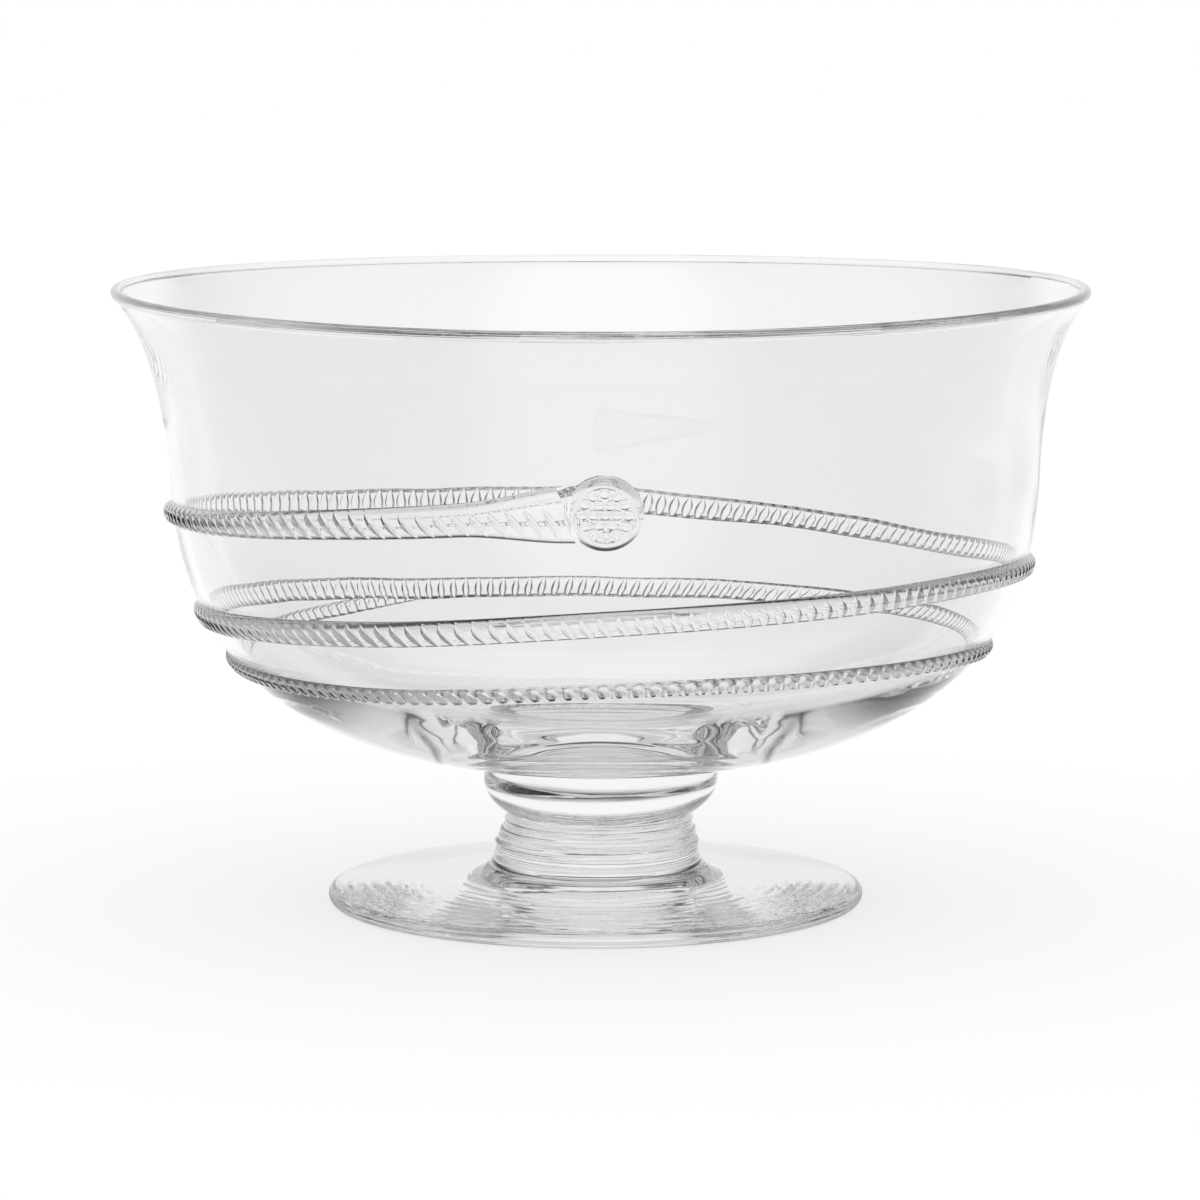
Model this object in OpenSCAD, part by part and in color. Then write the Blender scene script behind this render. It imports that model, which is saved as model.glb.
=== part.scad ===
// Footed glass bowl. A blown bowl with a flared, rounded lip stands on a turned collar,
// a short ringed stem and a round foot. A notched glass thread winds down the wall from
// a stamped seal at the front. Every piece was fused to the next while hot, so nothing
// moves. The origin is the middle of the face that the foot rests on, +Z is up and the
// seal faces -Y.

/* [Bowl] */
// Diameter over the outside of the lip
rim_d = 250; // [236:1:280]
// Height from the underside of the bowl, on its axis, to the middle of the lip
bowl_h = 122.4; // [110:0.1:140]
// Outer diameter at the belly, where the wall is nearly upright
belly_d = 222.4; // [205:0.1:230]
// Height of the belly above the underside of the bowl
belly_h = 73.3; // [64:0.1:84]
// Lean of the wall at the belly, in degrees from upright
belly_lean = 2.6; // [0:0.1:6]
// Lean of the wall just under the lip, in degrees from upright
lip_lean = 40; // [25:1:50]
// Thickness of the wall at the belly
wall_t = 3; // [2.2:0.1:4.5]
// Thickness of the floor at its middle
floor_t = 5.2; // [4:0.1:10]
// Thickness of the fire-polished lip
lip_t = 2.7; // [2:0.1:4]

/* [Collar] */
// Diameter of the collar under the bowl
collar_d = 60.4; // [52:0.1:70]
// Height of the collar from the waist to the underside of the bowl
collar_h = 12; // [9:0.1:18]
// Diameter of the waist, where the collar meets the stem
waist_d = 47.6; // [40:0.1:50]

/* [Stem] */
// Diameter of the stem at its base
stem_d = 52.4; // [51:0.1:60]
// Height of the stem from the foot to the waist
stem_h = 9; // [6:0.1:20]
// Number of tooled rings on the stem
stem_rings = 3; // [1:1:5]
// How far each tooled ring stands out
stem_ring_h = 0.4; // [0.1:0.1:1]

/* [Foot] */
// Diameter of the foot
foot_d = 138.2; // [120:0.1:160]
// Height of the foot at its middle, where the stem stands on it
foot_h = 14; // [11:0.1:20]
// Thickness of the rounded edge of the foot
foot_edge_t = 4; // [3:0.1:5]
// Rise of the top of the foot from its edge to the flare under the stem
foot_rise = 2.6; // [1:0.1:4]
// Width of the flare that runs from the stem out on to the foot
foot_flare_w = 9; // [5:0.1:15]
// Inner diameter of the flat ring that the foot rests on
rest_d = 104; // [90:1:110]
// Height of the hollow under the foot
hollow_h = 1.6; // [0.8:0.1:2.4]
// Diameter of the ground pontil mark in the hollow
pontil_d = 22; // [16:1:30]
// Depth of the pontil mark
pontil_depth = 0.8; // [0.4:0.1:1.5]

/* [Thread] */
// Greatest width of the thread away from the seal
thread_w = 7; // [6:0.1:8]
// Width of the thread where it leaves the seal
thread_start_w = 14; // [11:0.1:16]
// Length over which the thread narrows away from the seal
thread_taper_l = 31; // [15:1:60]
// How far the ribs stand out from the wall after the seal
thread_h = 2.5; // [1.5:0.1:3]
// How far the ribs stand out where the thread ends
thread_end_h = 1.8; // [1.2:0.1:2.5]
// Turns that the thread makes round the bowl
thread_turns = 2.36; // [1:0.01:2.36]
// Number of ribs in each turn
ribs_per_turn = 160; // [120:1:190]
// Slant of the ribs, in degrees from upright
rib_slant = 26; // [0:1:40]
// Length of the thin tail
tail_l = 30; // [10:1:90]

/* [Seal] */
// Diameter of the stamped seal
seal_d = 18.4; // [14:0.1:24]
// Thickness of the seal over the wall
seal_t = 2.6; // [1.5:0.1:4]
// Thickness of the rounded ridge round the seal
seal_ridge_t = 2.4; // [1.5:0.1:3]
// Diameter of each bead in the seal
bead_d = 2.6; // [2:0.1:3]

/* [Hidden] */

glass = [0.86, 0.92, 0.93, 0.55];
$fn = 96;
curve_steps = 24;
arc_steps = 10;

// Heights of the joints between the pieces
stem_z = foot_h;
waist_z = stem_z + stem_h;
bowl_z = waist_z + collar_h;
lip_z = bowl_z + bowl_h;

// How far each handle of the wall's curves reaches, as a share of the span it belongs to
floor_pull_share = 0.64;
belly_down_share = 0.7;
belly_up_share = 0.1;
lip_down_share = 0.39;
// Angle at the lip's middle between the wall and each end of the lip's arc
lip_open = 60;

// Height of the collar's curved lower part, as a share of the collar's height
collar_ogee_share = 0.75;

// Height of the middle of the thread at each twelfth of a turn, as a share of the bowl's
// height: it was laid on by hand, so it drops unevenly and rises again at the end
thread_height_shares = [
    0.644, 0.608, 0.569, 0.538, 0.505, 0.476, 0.462, 0.434, 0.411, 0.434, 0.451,
    0.442, 0.422, 0.384, 0.354, 0.326, 0.307, 0.288, 0.273, 0.266, 0.261, 0.263,
    0.283, 0.289, 0.282, 0.251, 0.239, 0.239, 0.253, 0.260, 0.290
];
heights_per_turn = 12;
// Width of the thread at each quarter of a turn, as a share of its greatest width
thread_width_shares = [1.26, 0.77, 0.87, 0.83, 0.96, 1, 0.76, 0.64, 0.63, 0.67, 0.6];
widths_per_turn = 4;
// How far the thread's back lies in the wall that it is fused to, and its first end in the seal
fuse_depth = 0.1;
seal_bite = 3.2;
// Outline of the thread on a rib and in a notch, from its lower to its upper edge:
// places across as shares of the width, and heights as shares of the ribs' height
rib_shares = [[-0.5, 0], [-0.48, 0.6], [-0.22, 1], [0.22, 0.95], [0.5, 0.5], [0.5, 0]];
notch_shares = [[-0.41, 0], [-0.38, 0.15], [-0.2, 0.42], [0.24, 0.62], [0.5, 0.5], [0.5, 0]];
// Width and height of the tail's tip, as shares of the thread's own
tail_share = 0.6;

// Number of beads in the seal's two circles, and their radii as shares of the seal's
bead_counts = [6, 12];
bead_radius_shares = [0.3, 0.58];
// How far the ridge's and the beads' middles lie under the face of the seal, as a share
// of the ridge's thickness and of the bead's diameter
ridge_sink_share = 0.1;
bead_sink_share = 0.15;

function bezier(a, b, c, d) = [
    for (i = [0 : curve_steps])
        let (t = i / curve_steps, s = 1 - t)
        s * s * s * a + 3 * s * s * t * b + 3 * s * t * t * c + t * t * t * d
];
function arc(centre, radii, from, to) = [
    for (i = [0 : arc_steps])
        let (a = from + (to - from) * i / arc_steps)
        centre + [radii[0] * cos(a), radii[1] * sin(a)]
];
function upward(lean) = [sin(lean), cos(lean)];
function outward(lean) = [cos(lean), -sin(lean)];
function mix(a, b, share) = a + (b - a) * share;
// Smooth rise from 0 to 1
function ease(t) = (1 - cos(180 * max(0, min(1, t)))) / 2;
function reversed(list) = [for (i = [len(list) - 1 : -1 : 0]) list[i]];

lip_centre = [rim_d / 2 - lip_t / 2, lip_z];
lip_radii = [lip_t / 2, lip_t / 2];
belly = [belly_d / 2, bowl_z + belly_h];

// One face of the wall, from its point on the axis up to the lip. inset is its distance
// inside the outer face at the belly, start_z its height on the axis and lip_angle the
// place on the lip's circle where it ends.
function wall_face(inset, start_z, lip_angle) =
    let (
        mid = belly - inset * outward(belly_lean),
        end = lip_centre + lip_t / 2 * [cos(lip_angle), sin(lip_angle)],
        floor_pull = floor_pull_share * mid[0],
        down = belly_down_share * (mid[1] - start_z),
        up = belly_up_share * (end[1] - mid[1]),
        lip_down = lip_down_share * (end[1] - mid[1]),
        lower = bezier([0, start_z], [floor_pull, start_z], mid - down * upward(belly_lean), mid),
        upper = bezier(mid, mid + up * upward(belly_lean), end - lip_down * upward(lip_lean), end)
    )
    concat(lower, [for (i = [1 : curve_steps]) upper[i]]);

lip_from = -90 - lip_lean + lip_open;
lip_to = 270 - lip_lean - lip_open;
outer_face = wall_face(0, bowl_z, lip_from);
inner_face = wall_face(wall_t, bowl_z + floor_t, lip_to);
lip_arc = arc(lip_centre, lip_radii, lip_from, lip_to);

module bowl() {
    lip_inside = [for (i = [1 : arc_steps - 1]) lip_arc[i]];
    color(glass)
        rotate_extrude()
            polygon(concat(outer_face, lip_inside, reversed(inner_face)));
}

// The collar's top is the bowl's underside, out to the collar's own radius
module collar() {
    r = collar_d / 2;
    seat = [for (p = outer_face) if (p[0] < r) p];
    ogee_h = collar_ogee_share * collar_h;
    side = [
        for (i = [0 : arc_steps])
            let (t = i / arc_steps)
            [mix(waist_d / 2, r, ease(t)), waist_z + ogee_h * t]
    ];
    color(glass)
        rotate_extrude()
            polygon(concat([[0, waist_z]], side, [[r, lookup(r, outer_face)]], reversed(seat)));
}

module stem() {
    side = [
        for (i = [0 : 2 * curve_steps])
            let (
                t = i / (2 * curve_steps),
                ring = max(0, sin(360 * stem_rings * t - 90))
            )
            [mix(stem_d / 2, waist_d / 2, ease(t)) + stem_ring_h * ring, stem_z + stem_h * t]
    ];
    color(glass)
        rotate_extrude()
            polygon(concat([[0, stem_z]], side, [[0, waist_z]]));
}

module foot() {
    flare_z = foot_edge_t + foot_rise;
    edge_r = foot_edge_t / 2;
    flare_centre = [stem_d / 2 + foot_flare_w, foot_h];
    flare = arc(flare_centre, [foot_flare_w, foot_h - flare_z], 270, 180);
    edge = arc([foot_d / 2 - edge_r, edge_r], [edge_r, edge_r], -90, 90);
    hollow = [
        for (i = [0 : arc_steps])
            let (t = i / arc_steps)
            [mix(pontil_d / 2, rest_d / 2, t), hollow_h * ease(1 - t)]
    ];
    mark = arc([0, hollow_h], [pontil_d / 2, pontil_depth], 90, 0);
    color(glass)
        rotate_extrude()
            polygon(concat(mark, hollow, edge, flare, [[0, foot_h]]));
}

// The outer face as a table from height to radius, without its level start on the axis
wall_table = [for (p = outer_face) if (p[0] > collar_d / 2) [p[1], p[0]]];
function wall_r(z) = lookup(z, wall_table);
function wall_lean(z) = atan2(wall_r(z + thread_w / 2) - wall_r(z - thread_w / 2), thread_w);

// Smooth value after t turns, through shares that lie per_turn to a turn
function share_at(shares, i) = shares[max(0, min(len(shares) - 1, i))];
function smooth_share(shares, per_turn, t) =
    let (
        s = max(0, t) * per_turn,
        i = floor(s),
        u = s - i,
        p = [for (k = [-1 : 2]) share_at(shares, i + k)],
        bend = 2 * p[0] - 5 * p[1] + 4 * p[2] - p[3],
        twist = 3 * (p[1] - p[2]) + p[3] - p[0]
    )
    p[1] + u * (p[2] - p[0] + u * (bend + u * twist)) / 2;
function thread_z(t) = bowl_z + bowl_h * smooth_share(thread_height_shares, heights_per_turn, t);

turn_l = PI * belly_d;
thread_from = (seal_d / 2 - seal_bite) / turn_l;
thread_rings = 2 * floor(ribs_per_turn * (thread_turns - thread_from));

function tail_thinning(t) = mix(tail_share, 1, ease((thread_turns - t) * turn_l / tail_l));
function thread_width(t) =
    let (
        plain = thread_w * smooth_share(thread_width_shares, widths_per_turn, t),
        start = 1 - ease((t - thread_from) * turn_l / thread_taper_l)
    )
    mix(plain, thread_start_w, start) * tail_thinning(t);
function thread_height(t) = mix(thread_h, thread_end_h, t / thread_turns) * tail_thinning(t);

// Point on the thread after t turns: across it by a share of its width, and out from
// the wall by a share of its height. The ribs' slant moves it along the thread, and
// starts from none at the seal, so that the thread's first end lies in the seal.
function thread_point(t, across_share, out_share) =
    let (
        across = across_share * thread_width(t),
        out = out_share > 0 ? out_share * thread_height(t) : -fuse_depth,
        slant = rib_slant * ease((t - thread_from) * turn_l / thread_start_w),
        at = t + across * tan(slant) / turn_l,
        lean = wall_lean(thread_z(at)),
        z = thread_z(at) + across * cos(lean),
        foot_point = [wall_r(z), z] + out * outward(lean),
        angle = 360 * at
    )
    [-foot_point[0] * sin(angle), -foot_point[0] * cos(angle), foot_point[1]];

module thread() {
    sides = len(rib_shares);
    points = [
        for (k = [0 : thread_rings])
            let (t = mix(thread_from, thread_turns, k / thread_rings))
            for (shares = k % 2 == 0 ? rib_shares : notch_shares)
                thread_point(t, shares[0], shares[1])
    ];
    walls = [
        for (k = [0 : thread_rings - 1])
            for (j = [0 : sides - 1])
                let (a = k * sides + j, b = k * sides + (j + 1) % sides)
                for (face = [[a, b, b + sides], [a, b + sides, a + sides]])
                    face
    ];
    last = thread_rings * sides;
    start_cap = [for (j = [1 : sides - 2]) [0, j + 1, j]];
    end_cap = [for (j = [1 : sides - 2]) [last, last + j, last + j + 1]];
    color(glass)
        polyhedron(points, concat(walls, start_cap, end_cap));
}

// The seal's face lies square to the wall at its height, and its back on the wall itself
module seal() {
    z = thread_z(0);
    ridge_r = seal_d / 2 - seal_ridge_t / 2;
    color(glass)
        difference() {
            translate([0, -wall_r(z), z])
                rotate([90 + belly_lean, 0, 0]) {
                    translate([0, 0, -wall_t])
                        cylinder(h = wall_t + seal_t, r = ridge_r);
                    translate([0, 0, seal_t - ridge_sink_share * seal_ridge_t])
                        rotate_extrude()
                            translate([ridge_r, 0])
                                circle(d = seal_ridge_t);
                    translate([0, 0, seal_t - bead_sink_share * bead_d])
                        seal_beads();
                }
            rotate_extrude()
                polygon(concat(outer_face, [[0, lip_z]]));
        }
}

module seal_beads() {
    sphere(d = bead_d);
    for (i = [0 : len(bead_counts) - 1])
        for (k = [0 : bead_counts[i] - 1])
            rotate(360 * k / bead_counts[i])
                translate([bead_radius_shares[i] * seal_d / 2, 0])
                    sphere(d = bead_d);
}

bowl();
collar();
stem();
foot();
thread();
seal();
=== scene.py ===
"""Footed glass bowl: the looks of its six fused pieces, the camera, the floor and the light."""
import math

import bpy
import numpy as np
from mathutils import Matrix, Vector


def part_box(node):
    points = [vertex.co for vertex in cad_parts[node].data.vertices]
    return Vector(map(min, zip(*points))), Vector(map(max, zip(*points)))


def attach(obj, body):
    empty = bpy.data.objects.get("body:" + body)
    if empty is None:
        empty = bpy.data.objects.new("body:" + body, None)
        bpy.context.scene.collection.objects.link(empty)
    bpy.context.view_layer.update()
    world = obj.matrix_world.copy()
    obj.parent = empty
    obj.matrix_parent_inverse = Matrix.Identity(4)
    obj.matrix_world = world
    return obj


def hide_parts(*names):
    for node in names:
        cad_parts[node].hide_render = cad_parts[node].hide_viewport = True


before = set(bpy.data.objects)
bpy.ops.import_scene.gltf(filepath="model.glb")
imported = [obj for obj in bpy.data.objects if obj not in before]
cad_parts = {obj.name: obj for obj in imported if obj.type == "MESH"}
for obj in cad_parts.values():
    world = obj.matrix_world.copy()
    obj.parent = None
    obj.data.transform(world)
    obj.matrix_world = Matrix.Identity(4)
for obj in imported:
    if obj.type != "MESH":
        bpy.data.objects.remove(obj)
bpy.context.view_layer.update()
scene = bpy.context.scene

# Lengths are in metres, and angles in degrees where no radians call stands beside them. Sizes
# that the frame holds come from it. LIP_OPEN is the angle at the lip's middle between the wall
# and each end of the lip's arc.
MM = 0.001
bowl_box, collar_box, stem_box, foot_box = (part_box(n) for n in ("bowl", "collar", "stem", "foot"))
BOWL_Z = bowl_box[0].z
RIM_R = bowl_box[1].x
LIP_R = 1.35 * MM
LIP_Z = bowl_box[1].z - LIP_R
LIP_LEAN, LIP_OPEN = 40, 60
BELLY_R, BELLY_LEAN = 111.2 * MM, 2.6
BELLY_Z = BOWL_Z + 73.3 * MM
WALL_T, FLOOR_T = 3 * MM, 5.2 * MM
COLLAR_R = collar_box[1].x
COLLAR_OGEE_H, COLLAR_FULLNESS = 9 * MM, 2.2
WAIST_Z, WAIST_R = stem_box[1].z, 23.8 * MM
STEM_Z, STEM_R = foot_box[1].z, 26.2 * MM
STEM_RINGS, STEM_RING_H = 3, 0.4 * MM
FOOT_R = foot_box[1].x
FOOT_EDGE_R = 2 * MM
FLARE_Z, FLARE_W = 6.6 * MM, 9 * MM
REST_R, HOLLOW_H = 52 * MM, 1.6 * MM
PONTIL_R, PONTIL_DEPTH = 11 * MM, 0.8 * MM

# A low ring in the floor of the bowl, where the rows lie closer together
FLOOR_RING_R, FLOOR_RING_W, FLOOR_RING_H = 36 * MM, 3 * MM, 0.3 * MM
FLOOR_RING_REACH, FLOOR_RING_STEP = 8 * MM, 0.5 * MM

# The waves and marks that blowing and tooling left: their heights, and for each wave its
# share of the height, how often it goes round, its radians to a millimetre, and its start
WALL_WAVE, STEM_WAVE, FOOT_WAVE = 0.02 * MM, 0.05 * MM, 0.02 * MM
WALL_WAVES = (1, 3, 0.05, 0), (0.6, 7, -0.09, 1.3), (0.4, 13, 0.13, 4.1), (0.25, 23, -0.2, 2.2)
STEM_WAVES = (1, 1, 4.3, 0), (0.7, -2, 7.1, 1), (0.5, 1, 11.7, 0)
FOOT_WAVES = (1, 1, 1.9, 0), (0.6, -1, 3.3, 2), (0.4, 2, 5.9, 0)

# The fine streaks round the lip are of two kinds: how often each goes round the lip's section,
# and the second one's share of the height. The first wander along the rim and the second
# twist. Their height swings by this much about its mean from the front to the back.
LIP_STREAK = 0.022 * MM
STREAK_COUNTS, STREAK_SHARE = (15, 23), 0.7
STREAK_WANDER, STREAK_TWIST = 3, 5
STREAK_MEAN, STREAK_SWING = 0.55, 0.45

# The lip rises at both sides and dips at the front and back, from this height up
SADDLE_H, SADDLE_Z = 0.75 * MM, 110 * MM

# The handmade pieces don't quite line up: how far each height lies to one side
SWAY_Z = np.array([0, 14, 24, 40, 75, 110, 158]) * MM
SWAY_X = np.array([-1.6, -1.2, -0.5, 0.1, 0.9, 0.9, -0.2]) * MM

# Points round each turned piece, the two kinds of face, and the angle from which an edge is
# sharp
COLUMNS = 720
GLASS, JOINT = 0, 1
SHARP_ANGLE = 34

# Steps along the profiles of the collar, the stem and the parts of the foot
COLLAR_STEPS, STEM_STEPS = 40, 120
MARK_STEPS, HOLLOW_STEPS, EDGE_STEPS, TOP_STEPS, FLARE_STEPS = 20, 40, 24, 60, 60

# How near to a cell's corner a cut may come, as a share of the cell's side
LEAST_CUT = 0.02

# A distance that is longer than the bowl
FAR = 1.0


def smooth(t):
    t = np.clip(t, 0, 1)
    return t * t * (3 - 2 * t)


def window(value, start, full, fading, end):
    """Rises from 0 to 1 between start and full, and falls back between fading and end."""
    return smooth((value - start) / (full - start)) * smooth((end - value) / (end - fading))


def ease(t):
    return (1 - np.cos(np.pi * np.clip(t, 0, 1))) / 2


def mix(a, b, share):
    return a + (b - a) * share


def bezier(a, b, c, d, steps):
    t = np.linspace(0, 1, steps + 1)[:, None]
    s = 1 - t
    return s**3 * a + 3 * s * s * t * b + 3 * s * t * t * c + t**3 * d


def arc(centre, radii, start, end, steps):
    a = np.radians(np.linspace(start, end, steps + 1))
    return np.array(centre) + np.stack([radii[0] * np.cos(a), radii[1] * np.sin(a)], 1)


def ripple(waves, a, along):
    """Sum of waves at the angle a round the axis and a distance along the profile."""
    return sum(share * np.sin(count * a + rate * along + start)
               for share, count, rate, start in waves)


def upward(lean):
    return np.array([math.sin(math.radians(lean)), math.cos(math.radians(lean))])


def outward(lean):
    return np.array([math.cos(math.radians(lean)), -math.sin(math.radians(lean))])


# The wall of the bowl: the same curves as the solid's, in finer steps
LIP_CENTRE = np.array([RIM_R - LIP_R, LIP_Z])
LIP_FROM, LIP_TO = -90 - LIP_LEAN + LIP_OPEN, 270 - LIP_LEAN - LIP_OPEN
CURVE_STEPS, TABLE_STEPS, FACE_STEPS, LIP_STEPS = 2000, 800, 240, 90

# How far each handle of the wall's curves reaches, as a share of its span
FLOOR_PULL, BELLY_DOWN, BELLY_UP, LIP_DOWN = 0.64, 0.7, 0.1, 0.39

# The wall's curvature is evened out between these heights over the bowl's underside, by an
# average over this many of its steps each way, weighted by a bell curve that reaches this many
# of its standard deviations
EVEN_HEIGHTS = np.array([22, 47, 98, 112]) * MM
EVEN_STEPS, EVEN_REACH, EVEN_SPREAD = 600, 30, 2.5

# Between these heights over the foot's underside the inner face runs parallel to the outer
# one. The offset curve is read only above PARALLEL_FROM_Z, where it rises steadily.
PARALLEL_HEIGHTS = np.array([52, 68, 116, 156]) * MM
PARALLEL_FROM_Z = BOWL_Z + 12 * MM


def even_steps(curve, steps):
    """The same curve in steps of equal length."""
    along = np.concatenate([[0], np.cumsum(np.hypot(*np.diff(curve, axis=0).T))])
    at = np.linspace(0, along[-1], steps + 1)
    return np.stack([np.interp(at, along, curve[:, k]) for k in (0, 1)], 1)


def wall_face(inset, start_z, lip_angle, steps):
    """One face of the wall in even steps, with the curvature evened out round the belly."""
    mid = np.array([BELLY_R, BELLY_Z]) - inset * outward(BELLY_LEAN)
    a = math.radians(lip_angle)
    end = LIP_CENTRE + LIP_R * np.array([math.cos(a), math.sin(a)])
    rise, drop = end[1] - mid[1], mid[1] - start_z
    up, lip_up = upward(BELLY_LEAN), upward(LIP_LEAN)
    start = np.array([0, start_z])
    pull = np.array([FLOOR_PULL * mid[0], start_z])
    lower = bezier(start, pull, mid - BELLY_DOWN * drop * up, mid, CURVE_STEPS)
    upper = bezier(mid, mid + BELLY_UP * rise * up, end - LIP_DOWN * rise * lip_up, end,
                   CURVE_STEPS)
    curve = even_steps(np.concatenate([lower, upper[1:]]), EVEN_STEPS)
    weights = np.exp(-np.linspace(-EVEN_SPREAD, EVEN_SPREAD, 2 * EVEN_REACH + 1) ** 2 / 2)
    weights /= weights.sum()
    even = np.stack([np.convolve(np.pad(curve[:, k], EVEN_REACH, "edge"), weights, "valid")
                     for k in (0, 1)], 1)
    share = window(curve[:, 1:] - BOWL_Z, *EVEN_HEIGHTS)
    return even_steps(mix(curve, even, share), steps)


# The outer face as a table of radius and height
WALL_TABLE = wall_face(0, BOWL_Z, LIP_FROM, TABLE_STEPS)


def wall_r(z):
    return np.interp(z, WALL_TABLE[:, 1], WALL_TABLE[:, 0])


def wall_lean(z):
    step = 3 * MM
    return np.arctan2(wall_r(z + step) - wall_r(z - step), 2 * step)


# The thread's height at each twelfth of a turn, as a share of the way up the bowl, and its
# width at each eighth of a turn, as a share of THREAD_W
HEIGHTS_PER_TURN, WIDTHS_PER_TURN = 12, 8
HEIGHT_SHARES = np.array([
    0.644, 0.608, 0.569, 0.544, 0.502, 0.470, 0.458, 0.434, 0.411, 0.434, 0.451,
    0.442, 0.422, 0.384, 0.354, 0.332, 0.302, 0.272, 0.265, 0.262, 0.261, 0.263,
    0.283, 0.289, 0.282, 0.251, 0.239, 0.239, 0.241, 0.262, 0.310,
])
WIDTH_SHARES = np.array([
    1.26, 1.01, 0.77, 1.00, 1.02, 0.86, 0.83, 0.89, 0.96, 1, 1,
    1.01, 0.94, 0.88, 0.68, 0.63, 0.63, 0.66, 0.67, 0.66, 0.6,
])

# Over TAPER_L from its start the thread narrows to its plain width, and over TAIL_L it narrows
# and flattens to TAIL_SHARE at its end. It starts SEAL_BITE inside the seal's edge, and ends
# after THREAD_TO turns.
TURN_L = 2 * math.pi * BELLY_R
THREAD_W, THREAD_START_W, THREAD_H, THREAD_END_H = 7 * MM, 14 * MM, 2.5 * MM, 1.8 * MM
TAPER_L, TAIL_L, TAIL_SHARE = 31 * MM, 24 * MM, 0.7
SEAL_R, SEAL_BITE = 9.2 * MM, 4 * MM
THREAD_FROM, THREAD_TO = (SEAL_R - SEAL_BITE) / TURN_L, 2.415

# The thread's outline across is a dome: the first exponent flattens its top, and the second
# steepens its edges
DOME_POWERS = 2.8, 0.65

# From this turn on, over a share of a turn, the thread swells between its dents like a rope
ROPE_FROM, ROPE_GROWS, ROPE_BULGE = 1.72, 0.08, 0.16

# Turns from which the tail is fused to the turn above it, and between which that turn is
TAIL_FUSED_FROM, TURN_FUSED = 2.3, (1.3, 1.45)

# Points across the thread's face and its back, rings in each dent and between two, and rounds
# in which the slant of the dents settles
FACE_POINTS, BACK_POINTS, DENT_RINGS, PLAIN_RINGS, SLANT_ROUNDS = 27, 5, 13, 3, 4

# The dents deepen over this length from the thread's start, and are this share as wide and
# deep at their tips as in their middle. The power makes their bottoms flat and flanks steep.
DENTS_GROW_L, DENT_TIP, FLANK_POWER = 9 * MM, 0.015, 3

# The dents that the crimping tool pressed in the thread. Turns from the seal, dents in a
# turn, their slant in degrees, half their width as a share of their spacing, half their
# length and their middle as shares across the thread, and their depth as a share of its height.
DENTS = np.array([
    (0.000, 159, 0, 0.22, 0.26, -0.15, 0.30),
    (0.025, 159, 33, 0.26, 0.32, -0.13, 0.34),
    (0.050, 159, 35, 0.30, 0.37, -0.10, 0.38),
    (0.070, 159, 36, 0.32, 0.40, -0.09, 0.50),
    (0.100, 159, 40, 0.38, 0.49, -0.02, 0.60),
    (0.200, 159, 40, 0.43, 0.50, 0.00, 0.62),
    (0.300, 175, 15, 0.42, 0.48, -0.02, 0.55),
    (0.420, 184, 6, 0.42, 0.49, 0.00, 0.50),
    (0.500, 184, 12, 0.40, 0.46, -0.04, 0.48),
    (0.600, 182, 22, 0.40, 0.44, -0.06, 0.48),
    (0.700, 176, 22, 0.42, 0.46, -0.03, 0.52),
    (0.800, 182, 4, 0.42, 0.49, -0.02, 0.60),
    (0.860, 180, 2, 0.42, 0.48, -0.03, 0.62),
    (0.920, 164, 12, 0.36, 0.43, -0.05, 0.50),
    (1.000, 158, 27, 0.34, 0.41, -0.07, 0.40),
    (1.050, 158, 33, 0.36, 0.44, -0.05, 0.45),
    (1.090, 158, 38, 0.38, 0.49, -0.02, 0.60),
    (1.200, 160, 40, 0.43, 0.50, 0.00, 0.62),
    (1.300, 176, 5, 0.42, 0.48, -0.02, 0.55),
    (1.372, 179, 8, 0.42, 0.48, -0.02, 0.50),
    (1.390, 166, 8, 0.30, 0.52, 0.00, 0.50),
    (1.550, 168, 20, 0.30, 0.52, 0.00, 0.50),
    (1.570, 176, 22, 0.42, 0.46, -0.04, 0.50),
    (1.670, 168, 20, 0.40, 0.47, -0.02, 0.55),
    (1.800, 153, 10, 0.44, 0.60, 0.02, 0.80),
    (1.950, 152, 12, 0.44, 0.60, 0.02, 0.80),
    (2.050, 152, 33, 0.44, 0.60, 0.02, 0.80),
    (2.180, 156, 36, 0.44, 0.60, 0.02, 0.80),
    (2.300, 172, 10, 0.42, 0.50, 0.00, 0.60),
    (2.500, 176, 10, 0.42, 0.50, 0.00, 0.50),
])
TURNS, RATE, SLANT, HALF_W, HALF_L, MIDDLE, DEPTH = range(7)

# Dents counted from the seal, as a table over the turns
DENT_TABLE_STEPS = 5000
DENT_T = np.linspace(0, DENTS[-1, TURNS], DENT_TABLE_STEPS + 1)
DENT_RATES = np.interp(DENT_T[1:], DENTS[:, TURNS], DENTS[:, RATE])
DENT_PHASE = np.concatenate([[0], np.cumsum(DENT_RATES)]) * (DENT_T[1] - DENT_T[0])


def smooth_share(shares, per_turn, t):
    """Smooth value after t turns, through shares that lie per_turn to a turn."""
    s = np.maximum(t, 0) * per_turn
    i = np.floor(s).astype(int)
    u = s - i
    at = [shares[np.clip(i + k, 0, len(shares) - 1)] for k in (-1, 0, 1, 2)]
    bend = 2 * at[0] - 5 * at[1] + 4 * at[2] - at[3]
    twist = 3 * (at[1] - at[2]) + at[3] - at[0]
    return at[1] + u * (at[2] - at[0] + u * (bend + u * twist)) / 2


def thread_z(t):
    return BOWL_Z + (LIP_Z - BOWL_Z) * smooth_share(HEIGHT_SHARES, HEIGHTS_PER_TURN, t)


def tail(t):
    return mix(TAIL_SHARE, 1, ease((THREAD_TO - t) * TURN_L / TAIL_L))


def thread_width(t):
    start = 1 - ease((t - THREAD_FROM) * TURN_L / TAPER_L)
    plain = THREAD_W * smooth_share(WIDTH_SHARES, WIDTHS_PER_TURN, t)
    return mix(plain, THREAD_START_W, start) * tail(t)


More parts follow.
